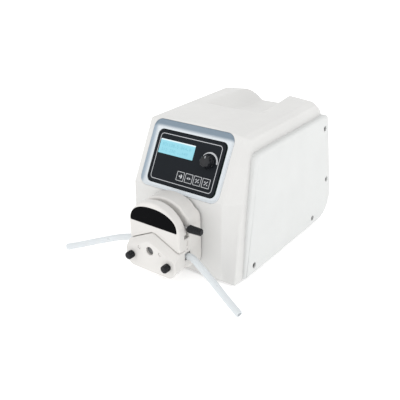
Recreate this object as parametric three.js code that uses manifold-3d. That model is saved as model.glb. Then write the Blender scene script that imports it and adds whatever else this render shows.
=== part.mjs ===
// Benchtop peristaltic pump: a desktop drive with a sloping control panel and a
// snap-in roller head on its lower front. Units are millimetres, +Z is up, the
// pump faces -Y and its right-hand side is +X. Everything is laid out in "case
// coordinates" (y = 0 on the lower front face, z = 0 on the case bottom) and moved
// once, at the end, so that the base rests on z = 0 and the plan view is centred.
import * as THREE from 'three';
import Module from 'manifold-3d';

const wasm = await Module();
wasm.setup();

// ---------------------------------------------------------------- dimensions
const FOOT = 2.5;              // rubber foot height
const SHIFT_Y = -90.15;          // case coordinates to the shared frame
const CASE = {
  halfFace: 66,                // half width of the central wrap
  halfBody: 79.5,              // half width at the shoulder
  halfCover: 87.5,             // half width over the side covers
  breakZ: 91,                  // height where the front starts to slope back
  topZ: 168,                   // top at the edges of the central wrap
  crownZ: 170.4,               // top along the middle
  crownHalf: 32,
  shoulderZ: 163,              // top of the shoulder band
  coverZ: 148,                 // top of the side covers
  wall: 3,
};
const PANEL_TILT = 28.5;       // degrees from vertical
const REAR_LEAN = 8;           // degrees, rear face leans forward
const REAR_CORNER = 35;        // radius of the rear bottom corner
const REAR_CENTRE = { y: 203.5, z: 35 };
const VALLEY = { floorZ: 156, floorHalf: 18, rimHalf: 40, frontY: 116, floorY: 140 };

const BEZEL = { half: 58.5, low: 6, high: 87.2, radius: 11, depth: 3.4 };
const OVERLAY = { left: -50.6, right: 48.6, low: 12.1, high: 76.6, radius: 7, thick: 1.2 };
const DISPLAY = { left: -44.6, right: 7.4, low: 48, high: 65.6 };
const KEY = { count: 4, first: -8.4, pitch: 12.4, width: 11.4, low: 20.8, high: 32.6 };
const ENCODER = { x: 30.3, v: 50.5, radius: 7.9, height: 9.4 };

const AXIS_Z = 44;             // rotor axis above the case bottom
const HEAD = {
  half: 37, bottom: 16.3, arcZ: 61.7, arcR: 39.3,
  flangeY: -20,                // front of the rear body's flange
  seamY: -31,                  // seam between the rear body and the front blocks
  plateY: -41,                 // front of the pressing block
  frontY: -50,                 // front of the lower block
  apex: 65, slope: 0.49,       // chevron seam between the two blocks
};
const ROTOR = { pitchR: 12.2, rollerR: 5.5, pinR: 1.8, discR: 15.2, shaftR: 4, pressR: 21 };
const TUBE = { outer: 3.75, bore: 2.2, y: -25.5, portZ: 38, portX: 37.4 };
const LEVER = { pivotZ: 73, y: -24.4, hubR: 5, rodR: 2, gripFrom: 37.6, gripTo: 56.6, tilt: 1 };
const KNOB = { x: 27, z: 32.5, radius: 4.7, from: -50.4, to: -58.4 };

// ---------------------------------------------------------------- materials
function paint(color, roughness = 0.6, metalness = 0, extra = {}) {
  return new THREE.MeshStandardMaterial({ color, roughness, metalness, ...extra });
}
const LOOK = {
  shell: paint(0xeceae6, 0.55),
  cover: paint(0xe6e8e8, 0.5),
  head: paint(0xe9e6df, 0.45),
  bezel: paint(0xb9c3cf, 0.35, 0.6),
  overlay: paint(0x2a2d31, 0.35),
  display: paint(0x7ecbe2, 0.25),
  black: paint(0x141416, 0.4),
  smoke: paint(0x0d0e10, 0.12),
  steel: paint(0xb8bcc0, 0.3, 1),
  sheet: paint(0xa9adb1, 0.45, 0.8),
  board: paint(0x1f6b45, 0.6),
  rubber: paint(0x2b2b2b, 0.9),
  tube: paint(0xdfe8ec, 0.35, 0, { transparent: true, opacity: 0.75 }),
  key: paint(0x34373b, 0.4),
};

// ---------------------------------------------------------------- solids
const group = new THREE.Group();
group.name = 'peristaltic_pump';

function signedVolume(positions, index) {
  const [a, b, c] = [new THREE.Vector3(), new THREE.Vector3(), new THREE.Vector3()];
  let total = 0;
  for (let i = 0; i < index.length; i += 3) {
    a.fromArray(positions, index[i] * 3);
    b.fromArray(positions, index[i + 1] * 3);
    c.fromArray(positions, index[i + 2] * 3);
    total += a.dot(b.cross(c));
  }
  return total;
}

// A closed body through matching loops. The 2-D loops give the end caps.
function loft(loops, flat) {
  const n = loops[0].length;
  const positions = loops.flat().flatMap((p) => [p.x, p.y, p.z]);
  const index = [];
  for (let s = 0; s + 1 < loops.length; s += 1) {
    for (let i = 0; i < n; i += 1) {
      const j = (i + 1) % n;
      const [a, b, c, d] = [s * n + i, s * n + j, (s + 1) * n + j, (s + 1) * n + i];
      index.push(a, b, c, a, c, d);
    }
  }
  const caps = (outline, base, flip) => {
    const ccw = !THREE.ShapeUtils.isClockWise(outline);
    const points = ccw ? outline : [...outline].reverse();
    const at = (k) => base + (ccw ? k : n - 1 - k);
    for (const [a, b, c] of THREE.ShapeUtils.triangulateShape(points, [])) {
      if (flip === ccw) index.push(at(a), at(c), at(b));
      else index.push(at(a), at(b), at(c));
    }
  };
  caps(flat[0], 0, true);
  caps(flat[flat.length - 1], (loops.length - 1) * n, false);
  if (signedVolume(positions, index) < 0) {
    for (let i = 0; i < index.length; i += 3) {
      [index[i + 1], index[i + 2]] = [index[i + 2], index[i + 1]];
    }
  }
  return new wasm.Manifold(new wasm.Mesh({
    numProp: 3,
    vertProperties: new Float32Array(positions),
    triVerts: new Uint32Array(index),
  }));
}

// sections: [{ at, points }] with points as [a, b] pairs; place(a, b, at) gives xyz
function sweep(sections, place) {
  const loops = sections.map((s) => s.points.map(([a, b]) => new THREE.Vector3(...place(a, b, s.at))));
  const flat = sections.map((s) => s.points.map(([a, b]) => new THREE.Vector2(a, b)));
  return loft(loops, flat);
}
const extrude = (points, from, to, place) => sweep([{ at: from, points }, { at: to, points }], place);
const alongX = (yz, x0, x1) => extrude(yz, x0, x1, (a, b, t) => [t, a, b]);
const alongY = (xz, y0, y1) => extrude(xz, y0, y1, (a, b, t) => [a, t, b]);
const alongZ = (xy, z0, z1) => extrude(xy, z0, z1, (a, b, t) => [a, b, t]);
const rect = (a0, a1, b0, b1) => [[a0, b0], [a1, b0], [a1, b1], [a0, b1]];
const box = (x0, x1, y0, y1, z0, z1) => alongZ(rect(x0, x1, y0, y1), z0, z1);

function circle(radius, sides, ca = 0, cb = 0, phase = 0) {
  const points = [];
  for (let i = 0; i < sides; i += 1) {
    const t = phase + (i / sides) * Math.PI * 2;
    points.push([ca + radius * Math.cos(t), cb + radius * Math.sin(t)]);
  }
  return points;
}
const discY = (x, z, radius, y0, y1, sides = 20) => alongY(circle(radius, sides, x, z), y0, y1);
const discZ = (x, y, radius, z0, z1, sides = 16) => alongZ(circle(radius, sides, x, y), z0, z1);

function roundRect(a0, a1, b0, b1, radius, steps = 4) {
  const points = [];
  const corners = [[a1, b1, 0], [a0, b1, 90], [a0, b0, 180], [a1, b0, 270]];
  for (const [a, b, start] of corners) {
    const ca = a + (a === a1 ? -radius : radius);
    const cb = b + (b === b1 ? -radius : radius);
    for (let i = 0; i <= steps; i += 1) {
      const t = THREE.MathUtils.degToRad(start + (90 * i) / steps);
      points.push([ca + radius * Math.cos(t), cb + radius * Math.sin(t)]);
    }
  }
  return points;
}

function joinAll(first, ...rest) {
  return rest.reduce((sum, solid) => sum.add(solid), first);
}
function cutAll(first, ...tools) {
  return tools.reduce((left, tool) => left.subtract(tool), first);
}
const mirrored = (points) => points.map(([a, b]) => [-a, b]).reverse();

// Adds a solid to the assembly as one named mesh.
function part(name, solid, material) {
  const data = solid.getMesh();
  const geometry = new THREE.BufferGeometry();
  geometry.setAttribute('position', new THREE.BufferAttribute(new Float32Array(data.vertProperties), 3));
  geometry.setIndex(new THREE.BufferAttribute(new Uint32Array(data.triVerts), 1));
  geometry.translate(0, SHIFT_Y, FOOT);
  const flat = geometry.toNonIndexed();
  flat.computeVertexNormals();
  const mesh = new THREE.Mesh(flat, material);
  mesh.name = name;
  group.add(mesh);
}

// Two slanted working planes: the control panel and the rear face. In each,
// x runs to the reader's right, v up the slope and w straight out of the face.
const radians = THREE.MathUtils.degToRad;
const sinT = Math.sin(radians(PANEL_TILT));
const cosT = Math.cos(radians(PANEL_TILT));
const onPanel = (x, v, w) => [x, v * sinT - w * cosT, CASE.breakZ + v * cosT + w * sinT];
const sinR = Math.sin(radians(REAR_LEAN));
const cosR = Math.cos(radians(REAR_LEAN));
const rearFoot = [REAR_CENTRE.y + REAR_CORNER * cosR, REAR_CENTRE.z + REAR_CORNER * sinR];
const onRear = (x, v, w) => [-x, rearFoot[0] - v * sinR + w * cosR, rearFoot[1] + v * cosR + w * sinR];
const slab = (plane, points, w0, w1) => sweep(
  [{ at: w0, points }, { at: w1, points }],
  (a, b, w) => plane(a, b, w),
);
const taper = (plane, low, w0, high, w1) => sweep(
  [{ at: w0, points: low }, { at: w1, points: high }],
  (a, b, w) => plane(a, b, w),
);

// ---------------------------------------------------------------- housing
// Side profiles as [y, z] loops with equal point counts, so they can be lofted.
function rearEdge(topY, topZ, inset = 0, drop = 12) {
  const points = [];
  const radius = REAR_CORNER - inset;
  for (let i = 0; i <= 5; i += 1) {
    const t = radians(-90 + ((90 + REAR_LEAN) * i) / 5);
    points.push([REAR_CENTRE.y + radius * Math.cos(t), REAR_CENTRE.z + radius * Math.sin(t)]);
  }
  const lean = Math.tan(radians(REAR_LEAN));
  const [footY, footZ] = points[points.length - 1];
  const shoulder = topZ - drop;
  points.push([footY - (shoulder - footZ) * lean, shoulder]);
  points.push([topY + drop / 4, topZ - drop / 3]);
  points.push([topY - drop / 3, topZ]);
  return points;
}
function faceProfile(topZ) {
  const topV = (topZ - CASE.breakZ) / cosT;
  return [
    [0, 0], ...rearEdge(212, topZ),
    [topV * sinT + 2.5, topZ], [topV * sinT - 0.7, topZ - 1.3], [0, CASE.breakZ],
  ];
}
const shoulderProfile = [
  [5.5, 0], ...rearEdge(211, CASE.shoulderZ),
  [45, CASE.shoulderZ], [41.8, CASE.shoulderZ - 1.8], [25.9, CASE.breakZ],
];

function wrap() {
  const place = (a, b, t) => [t, a, b];
  const half = [
    { at: CASE.crownHalf, points: faceProfile(CASE.crownZ) },
    { at: CASE.halfFace, points: faceProfile(CASE.topZ) },
    { at: CASE.halfBody, points: shoulderProfile },
  ];
  const sections = [...half.map(({ at, points }) => ({ at: -at, points })).reverse(), ...half];
  return sweep(sections, place);
}

function carryValley() {
  const floor = [
    [-VALLEY.floorHalf, VALLEY.floorY], [VALLEY.floorHalf, VALLEY.floorY],
    [VALLEY.floorHalf, 260], [-VALLEY.floorHalf, 260],
  ];
  const rise = CASE.crownZ + 3 - VALLEY.floorZ;
  const spread = (VALLEY.rimHalf - VALLEY.floorHalf) * (rise / (rise - 3.5));
  const rimFront = VALLEY.floorY - (VALLEY.floorY - VALLEY.frontY) * (rise / (rise - 3));
  const rim = [
    [-VALLEY.floorHalf - spread, rimFront], [VALLEY.floorHalf + spread, rimFront],
    [VALLEY.floorHalf + spread, 260], [-VALLEY.floorHalf - spread, 260],
  ];
  const ends = [{ at: VALLEY.floorZ, points: floor }, { at: CASE.crownZ + 3, points: rim }];
  return sweep(ends, (a, b, t) => [a, b, t]);
}

function shellCavity() {
  const ceiling = VALLEY.floorZ - 3.4;
  const rear = rearEdge(209, ceiling, CASE.wall).slice(1);
  const wide = [[9.5, -1], [203, -1], ...rear, [44, ceiling], [29.5, 91]];
  const middle = [[3, -1], [60, -1], [60, ceiling], [37.5, ceiling], [5, 94], [3, 88]];
  const side = CASE.halfBody - CASE.wall;
  return joinAll(
    alongX(wide, -side, side),
    alongX(middle, -61, 61),
    box(-62, -44, 60, 198, ceiling - 1, CASE.topZ - 4),
    box(44, 62, 60, 198, ceiling - 1, CASE.topZ - 4),
  );
}

const REAR_PLATE = { half: 60, low: 6, high: 92, radius: 4 };
function mainShell() {
  const bezelHole = roundRect(-BEZEL.half, BEZEL.half, BEZEL.low, BEZEL.high, BEZEL.radius);
  const overlayHole = roundRect(-50.8, 50.8, 11.2, 77.8, 7.4);
  const rearHole = roundRect(-REAR_PLATE.half, REAR_PLATE.half, REAR_PLATE.low, REAR_PLATE.high, 4, 2);
  return cutAll(
    wrap(),
    shellCavity(),
    carryValley(),
    slab(onPanel, bezelHole, -BEZEL.depth, 3),
    slab(onPanel, overlayHole, -30, 3),
    slab(onRear, rearHole, -6, 3),
    discY(0, AXIS_Z, 12, -2, 12, 20),
  );
}

const coverProfile = [
  [17, 0.6], ...rearEdge(220.6, CASE.coverZ, 0, 6),
  [47, CASE.coverZ], [41.5, CASE.coverZ - 2], [38.8, CASE.coverZ - 6.5], [27, 72],
];
const COVER_SCREWS = [[212, 131], [222, 55], [187, 10.5], [38, 11]];
function sideCover(side) {
  const inner = CASE.halfBody + 0.25;
  const outer = CASE.halfCover;
  const scale = (points, k) => points.map(([y, z]) => [120 + (y - 120) * k, 74 + (z - 74) * k]);
  const place = (a, b, t) => [side * t, a, b];
  const skin = sweep([
    { at: inner, points: coverProfile },
    { at: outer - 1.2, points: coverProfile },
    { at: outer, points: scale(coverProfile, 0.99) },
  ], place);
  const pocket = sweep([
    { at: inner - 1, points: scale(coverProfile, 0.955) },
    { at: outer - 2.6, points: scale(coverProfile, 0.955) },
  ], place);
  let cover = skin.subtract(pocket);
  for (const [y, z] of COVER_SCREWS) {
    const post = sweep([
      { at: inner, points: circle(5.4, 10, y, z) }, { at: outer - 2, points: circle(5.4, 10, y, z) },
    ], place);
    const well = sweep([
      { at: outer - 3.4, points: circle(3.6, 12, y, z) }, { at: outer + 1, points: circle(3.6, 12, y, z) },
    ], place);
    cover = cover.add(post).subtract(well);
  }
  return cover;
}

function addScrews() {
  for (const [name, side] of [['left', -1], ['right', 1]]) {
    COVER_SCREWS.forEach(([y, z], i) => {
      const floor = CASE.halfCover - 3.2;
      const place = (a, b, t) => [side * t, a, b];
      const head = sweep([
        { at: floor, points: circle(3, 10, y, z) },
        { at: floor + 1.4, points: circle(3, 10, y, z) },
        { at: floor + 2, points: circle(2.3, 10, y, z) },
      ], place);
      const slotA = sweep([
        { at: floor + 1.1, points: rect(y - 1.7, y + 1.7, z - 0.35, z + 0.35) },
        { at: floor + 3, points: rect(y - 1.7, y + 1.7, z - 0.35, z + 0.35) },
      ], place);
      const slotB = sweep([
        { at: floor + 1.1, points: rect(y - 0.35, y + 0.35, z - 1.7, z + 1.7) },
        { at: floor + 3, points: rect(y - 0.35, y + 0.35, z - 1.7, z + 1.7) },
      ], place);
      part(`cover_screw_${name}_${i + 1}`, cutAll(head, slotA, slotB), LOOK.steel);
    });
  }
}

function basePlate() {
  const plate = box(-76, 76, 11, 202, 0, 2);
  const slots = [];
  for (let i = 0; i < 4; i += 1) {
    slots.push(box(-30, 30, 120 + i * 9, 123.5 + i * 9, -1, 3));
  }
  return cutAll(plate, ...slots);
}

function addHousing() {
  part('main_shell', mainShell(), LOOK.shell);
  part('side_cover_left', sideCover(-1), LOOK.cover);
  part('side_cover_right', sideCover(1), LOOK.cover);
  part('base_plate', basePlate(), LOOK.sheet);
  const spots = {
    front_left: [-60, 26], front_right: [60, 26], rear_left: [-60, 188], rear_right: [60, 188],
  };
  for (const [name, [x, y]] of Object.entries(spots)) {
    part(`foot_${name}`, discZ(x, y, 8, -FOOT, -0.1, 14), LOOK.rubber);
  }
  addScrews();
}

// ---------------------------------------------------------------- control panel
function bezelFrame() {
  const gap = 0.3;
  const side = BEZEL.half - gap;
  const outer = roundRect(-side, side, BEZEL.low + gap, BEZEL.high - gap, BEZEL.radius);
  const inner = roundRect(-52.5, 52.5, 10, 82, 8.5);
  const through = roundRect(-50.8, 50.8, 11.2, 77.8, 7.4);
  const rim = roundRect(-56.6, 56.6, 7.8, 85.4, 9.6);
  const frame = slab(onPanel, outer, -BEZEL.depth + gap, 0.3);
  return cutAll(
    frame,
    taper(onPanel, inner, -BEZEL.depth + 1.2, rim, 0.4),
    slab(onPanel, through, -6, 2),
  );
}

const keyLeft = (i) => KEY.first + i * KEY.pitch;
function overlayPanel() {
  const gap = 0.3;
  const { left, right, low, high, radius, thick } = OVERLAY;
  const plate = slab(onPanel, roundRect(left, right, low, high, radius), -2.4 - thick, -2.4);
  const screen = rect(
    DISPLAY.left - gap, DISPLAY.right + gap, DISPLAY.low - gap, DISPLAY.high + gap,
  );
  const holes = [
    slab(onPanel, screen, -6, 1),
    slab(onPanel, circle(3.6, 14, ENCODER.x, ENCODER.v), -6, 1),
  ];
  for (let i = 0; i < KEY.count; i += 1) {
    const start = keyLeft(i) - gap;
    const cut = rect(start, start + KEY.width + 2 * gap, KEY.low - gap, KEY.high + gap);
    holes.push(slab(onPanel, cut, -6, 1));
  }
  return cutAll(plate, ...holes);
}

function encoderKnob() {
  const { x, v, radius, height } = ENCODER;
  const base = -2.1;
  const cap = sweep([
    { at: base, points: circle(radius, 24, x, v) },
    { at: base + height - 1.6, points: circle(radius - 0.5, 24, x, v) },
    { at: base + height - 0.4, points: circle(radius - 1.3, 24, x, v) },
    { at: base + height, points: circle(radius - 2.6, 24, x, v) },
  ], onPanel);
  const line = rect(x - 0.5, x + 0.5, v + 2.5, v + radius + 1);
  const mark = slab(onPanel, line, base + height - 0.6, base + height + 1);
  const stem = slab(onPanel, circle(3, 14, x, v), -8.4, base + 0.5);
  return cap.subtract(mark).add(stem);
}

function addPanel() {
  part('bezel_frame', bezelFrame(), LOOK.bezel);
  part('panel_overlay', overlayPanel(), LOOK.overlay);
  const glass = rect(DISPLAY.left, DISPLAY.right, DISPLAY.low, DISPLAY.high);
  part('display_window', slab(onPanel, glass, -6.2, -2.7), LOOK.display);
  const board = slab(onPanel, roundRect(-49, 49, 13, 76, 6, 2), -10.2, -8.6);
  const chips = [
    slab(onPanel, rect(-30, -16, 20, 34), -8.7, -7),
    slab(onPanel, rect(-43.5, 10, 46.5, 66.5), -8.7, -6.5),
    slab(onPanel, rect(-44, -36, 16, 42), -8.7, -5),
  ];
  const shaftHole = slab(onPanel, circle(3.4, 12, ENCODER.x, ENCODER.v), -12, 0);
  part('control_board', cutAll(joinAll(board, ...chips), shaftHole), LOOK.board);
  const can = slab(onPanel, rect(ENCODER.x - 6, ENCODER.x + 6, ENCODER.v - 6, ENCODER.v + 6), -16, -10.5);
  part('encoder_body', can, LOOK.steel);
  part('encoder_knob', encoderKnob(), LOOK.black);
  for (let i = 0; i < KEY.count; i += 1) {
    const left = keyLeft(i);
    const cap = roundRect(left, left + KEY.width, KEY.low, KEY.high, 0.8, 1);
    const well = roundRect(left + 1, left + KEY.width - 1, KEY.low + 1, KEY.high - 1, 0.6, 1);
    const dish = slab(onPanel, well, -2.25, 0);
    part(`key_${i + 1}`, slab(onPanel, cap, -4.6, -2.0).subtract(dish), LOOK.key);
  }
}

// ---------------------------------------------------------------- rear panel
const SOCKET = { x: -28, v: 30, half: 13.6, tall: 22 };
const SWITCH = { x: 12, v: 30, half: 10.2, tall: 7.2 };
const PORT = { x: 12, v: 66 };

function rearPlate() {
  const gap = 0.3;
  const { half, low, high, radius } = REAR_PLATE;
  const plate = slab(onRear, roundRect(-half + gap, half - gap, low + gap, high - gap, radius, 2), -3, -1);
  const holes = [
    slab(onRear, rect(SOCKET.x - 13.9, SOCKET.x + 13.9, SOCKET.v - 22.3, SOCKET.v + 22.3), -6, 2),
    slab(onRear, rect(SWITCH.x - 10.5, SWITCH.x + 10.5, SWITCH.v - 7.5, SWITCH.v + 7.5), -6, 2),
    slab(onRear, rect(PORT.x - 14.3, PORT.x + 14.3, PORT.v - 5.3, PORT.v + 5.3), -6, 2),
  ];
  for (let i = 0; i < 5; i += 1) {
    const left = -50 + i * 9;
    holes.push(slab(onRear, roundRect(left, left + 4, 58, 84, 1.9, 1), -6, 2));
  }
  return cutAll(plate, ...holes);
}

function inletSocket() {
  const { x, v, half, tall } = SOCKET;
  const body = joinAll(
    slab(onRear, rect(x - half, x + half, v - tall, v + tall), -22, 0),
    slab(onRear, roundRect(x - half - 2, x + half + 2, v - tall - 2, v + tall + 2, 3, 2), -0.9, 1.4),
  );
  const mouth = [[-11.6, -19.5], [11.6, -19.5], [11.6, -7.5], [7.6, -3.5], [-7.6, -3.5], [-11.6, -7.5]];
  const well = mouth.map(([a, b]) => [x + a, v + b]);
  const pins = [[-7, -13.4], [7, -13.4], [0, -9]].map(([a, b]) => (
    slab(onRear, rect(x + a - 1, x + a + 1, v + b - 2.2, v + b + 2.2), -17.5, -3)
  ));
  const drawerBay = slab(onRear, rect(x - 10.6, x + 10.6, v + 1.4, v + 18.6), -19, 3);
  return joinAll(cutAll(body, slab(onRear, well, -17, 3), drawerBay), ...pins);
}

function fuseDrawer() {
  const { x, v } = SOCKET;
  const body = joinAll(
    slab(onRear, rect(x - 10.2, x + 10.2, v + 1.8, v + 18.2), -16.5, 1.2),
    slab(onRear, rect(x - 4, x + 4, v + 15, v + 17.6), 1.1, 2.4),
  );
  return cutAll(body, slab(onRear, rect(x - 8, x + 8, v + 4, v + 16), -18, -2));
}

function powerRocker() {
  const { x, v } = SWITCH;
  const tip = radians(8);
  const [c, s] = [Math.cos(tip), Math.sin(tip)];
  // profile across the rocker: a runs along x from the pivot, b out of the face
  const profile = [[-8, -3], [8, -3], [8.4, 1.6], [5, 1.9], [0, 0.9], [-5, 1.9], [-8.4, 1.6]];
  const turned = profile.map(([a, b]) => [x + a * c - b * s, a * s + b * c + 0.2]);
  return sweep(
    [{ at: v - 5.2, points: turned }, { at: v + 5.2, points: turned }],
    (a, b, t) => onRear(a, t, b),
  );
}

function addRear() {
  part('rear_plate', rearPlate(), LOOK.sheet);
  part('inlet_socket', inletSocket(), LOOK.black);
  part('fuse_drawer', fuseDrawer(), LOOK.black);
  const { x, v, half, tall } = SWITCH;
  const frame = cutAll(
    joinAll(
      slab(onRear, rect(x - half, x + half, v - tall, v + tall), -14, 0),
      slab(onRear, rect(x - half - 1.2, x + half + 1.2, v - tall - 1.2, v + tall + 1.2), -0.9, 0.9),
    ),
    slab(onRear, rect(x - 9.4, x + 9.4, v - 5.6, v + 5.6), -6, 3),
  );
  part('switch_frame', frame, LOOK.black);
  part('power_rocker', powerRocker(), LOOK.black);
  const trapeze = (grow) => [[-12, 4.1], [12, 4.1], [10.4, -4.1], [-10.4, -4.1]].map(
    ([a, b]) => [PORT.x + a + Math.sign(a) * grow, PORT.v + b + Math.sign(b) * grow],
  );
  const port = cutAll(
    joinAll(
      slab(onRear, trapeze(0.8), -9, 4.6),
      slab(onRear, rect(PORT.x - 19, PORT.x + 19, PORT.v - 6.2, PORT.v + 6.2), -0.9, -0.1),
    ),
    slab(onRear, trapeze(0), -1.4, 6),
  );
  part('control_connector', port, LOOK.sheet);
}

// ---------------------------------------------------------------- drive inside
function addDrive() {
  const corner = 28;
  const motor = joinAll(
    alongY(roundRect(-corner, corner, AXIS_Z - corner, AXIS_Z + corner, 4, 1), 24, 80),
    discY(0, AXIS_Z, 19, 22.2, 24.5, 20),
  ).subtract(discY(0, AXIS_Z, 4.4, 20, 50, 14));
  part('drive_motor', motor, LOOK.black);
  const plate = alongY(rect(-34, 34, AXIS_Z - 34, AXIS_Z + 34), 19, 22);
  const posts = [[-29, 15], [29, 15], [-29, 73], [29, 73]].map(([x, z]) => discY(x, z, 4, 3.4, 19.5, 10));
  part('motor_bracket', cutAll(joinAll(plate, ...posts), discY(0, AXIS_Z, 8, 10, 30, 16)), LOOK.sheet);
  const power = joinAll(
    box(-60, 60, 100, 190, 7, 8.6),
    box(-52, -18, 128, 170, 8.5, 42),
    box(16, 50, 112, 140, 8.5, 24),
    discZ(30, 165, 9, 8.5, 34, 14),
    discZ(2, 168, 7, 8.5, 28, 12),
    box(-45, 45, 106, 109, 8.5, 30),
  );
  const corners = [[-55, 105], [55, 105], [-55, 185], [55, 185]];
  const standoffs = corners.map(([x, y]) => discZ(x, y, 3, 2.2, 7.5, 8));
  part('power_board', joinAll(power, ...standoffs), LOOK.board);
}

// ---------------------------------------------------------------- pump head
function bellOutline() {
  const right = [
    [27, 16.8], [32, 18.6], [35.6, 22], [37, 27], [37, 74], [36.6, 79.4], [35, 83.4], [32, 86.4],
    [28.6, 88.8], [26, 92], [22.6, 94.9], [17, 97.4], [11, 99.2], [5, 100.2],
  ];
  return [...right, [0, 100.5], ...mirrored(right)];
}

function headBody() {
  const outline = bellOutline();
  const soft = outline.map(([x, z]) => [x * 0.965, 58 + (z - 58) * 0.965]);
  const flange = sweep([
    { at: -0.4, points: outline },
    { at: HEAD.flangeY + 2, points: outline },
    { at: HEAD.flangeY, points: soft },
  ], (a, b, t) => [a, t, b]);
  const core = alongY(
    [[-27, 18], [27, 18], [33, 24], [33, 61], [-33, 61], [-33, 24]],
    HEAD.seamY + 0.25, HEAD.flangeY + 1,
  );
  const sideSlots = [-1, 1].map((s) => {
    const port = alongY(roundRect(s > 0 ? 17 : -40, s > 0 ? 40 : -17, 33.9, 43.2, 3.8, 2), -40, -20.6);
    const jaw = box(s > 0 ? 28.6 : -34.2, s > 0 ? 34.2 : -28.6, -30.2, -20.4, 26, 36);
    const dimple = box(s > 0 ? 31.5 : -34, s > 0 ? 34 : -31.5, -26.5, -24.5, 52, 57);
    return joinAll(port, jaw, dimple);
  });
  return cutAll(
    joinAll(flange, core),
    discY(0, AXIS_Z, 24, -40, HEAD.flangeY + 0.4, 28),
    box(-23, 23, -40, HEAD.flangeY - 0.8, 51, 70),
    discY(0, AXIS_Z, 17.4, -30, -16.4, 24),
    discY(0, AXIS_Z, 5, -40, 4, 16),
    ...sideSlots,
  );
}

const chevron = (x, drop = 0) => HEAD.apex - drop - HEAD.slope * Math.abs(x);
function chevronLine(half, drop) {
  const xs = [-half, -6, -2.5, 0, 2.5, 6, half];
  return xs.map((x) => {
    const soften = Math.abs(x) < 6 ? 1.2 * (1 - Math.abs(x) / 6) : 0;
    return [x, chevron(x, drop) - soften];
  });
}

function lowerBlock() {
  const outline = (half, drop, foot) => [
    ...[...chevronLine(half, drop)].reverse(),
    [-half, 34], [-half + 1.6, 26], [-half + 6, 20], [-half + 13, 16.9], [-half + 19, foot],
    [half - 19, foot], [half - 13, 16.9], [half - 6, 20], [half - 1.6, 26], [half, 34],
  ];
  const half = HEAD.half - 0.2;
  const body = sweep([
    { at: HEAD.seamY - 0.05, points: outline(half, 0.5, HEAD.bottom) },
    { at: -43.6, points: outline(half, 0.5, HEAD.bottom) },
    { at: HEAD.frontY + 0.5, points: outline(half, 7.2, HEAD.bottom) },
    { at: HEAD.frontY, points: outline(half - 0.5, 7.8, HEAD.bottom + 0.5) },
  ], (a, b, t) => [a, t, b]);
  const cuts = [
    discY(0, AXIS_Z, 20, -36.5, -20, 26),
    discY(0, AXIS_Z, 8.3, -45.8, -30, 18),
    discY(0, AXIS_Z, 5.1, -60, -40, 18),
  ];
  for (const s of [-1, 1]) {
    cuts.push(discY(s * KNOB.x, KNOB.z, 2.4, -60, -36, 10));
    cuts.push(discY(s * 15.5, AXIS_Z + 0.6, 2.2, -60, -44, 10));
  }
  return cutAll(body, ...cuts);
}

function pressingBlock() {
  const arc = [];
  for (let i = 0; i <= 16; i += 1) {
    const t = radians(19.8 + (140.4 * i) / 16);
    arc.push([HEAD.arcR * Math.cos(t), HEAD.arcZ + HEAD.arcR * Math.sin(t)]);
  }
  const outline = (grow) => [
    ...chevronLine(HEAD.half + grow, grow),
    [HEAD.half + grow, 72],
    ...arc.map(([x, z]) => [x * (1 + grow / 37), z + (z > 74 ? grow : 0)]),
    [-HEAD.half - grow, 72],
  ];
  const plate = sweep([
    { at: HEAD.seamY - 0.05, points: outline(0) },
    { at: HEAD.plateY + 0.7, points: outline(0) },
    { at: HEAD.plateY, points: outline(-0.7) },
  ], (a, b, t) => [a, t, b]);
  const drum = [];
  for (let i = 0; i <= 12; i += 1) {
    const t = radians(8 + (164 * i) / 12);
    drum.push([34 * Math.cos(t), HEAD.arcZ + 34 * Math.sin(t)]);
  }
  const shoe = alongY([[-22.6, 52.5], [22.6, 52.5], [22.6, 67.4], [-22.6, 67.4]], HEAD.seamY, -21.2)
    .subtract(discY(0, AXIS_Z, ROTOR.pressR, -40, -10, 36));
  const pin = discY(0, LEVER.pivotZ, 2.3, -30, -21.4, 12);
  const window = alongY(windowOutline(0.25), -60, -39.4);
  return cutAll(joinAll(plate, alongY(drum, HEAD.seamY - 0.5, -27.6), shoe, pin), window);
}

function windowOutline(grow = 0) {
  const points = [];
  for (let i = 0; i <= 16; i += 1) {
    const t = (Math.PI * i) / 16;
    const [c, s] = [Math.cos(t), Math.sin(t)];
    const a = Math.sign(c) * Math.abs(c) ** 0.86;
    points.push([(34.2 + grow) * a, 74 + (20.6 + grow) * s ** 0.94]);
  }
  return [...points, [-33.6 - grow, 72.4 - grow], [33.6 + grow, 72.4 - grow]];
}

function tubeKnob(side) {
  const x = side * KNOB.x;
  const ribs = [];
  for (let i = 0; i < 28; i += 1) {
    const t = (i / 28) * Math.PI * 2;
    const r = i % 2 ? KNOB.radius : KNOB.radius - 0.55;
    ribs.push([x + r * Math.cos(t), KNOB.z + r * Math.sin(t)]);
  }
  const small = ribs.map(([a, b]) => [x + (a - x) * 0.86, KNOB.z + (b - KNOB.z) * 0.86]);
  const cap = sweep([
    { at: KNOB.from, points: ribs }, { at: KNOB.to + 0.7, points: ribs }, { at: KNOB.to, points: small },
  ], (a, b, t) => [a, t, b]);
  return cap.add(discY(x, KNOB.z, 2, KNOB.from - 0.3, -37, 10));
}

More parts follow.
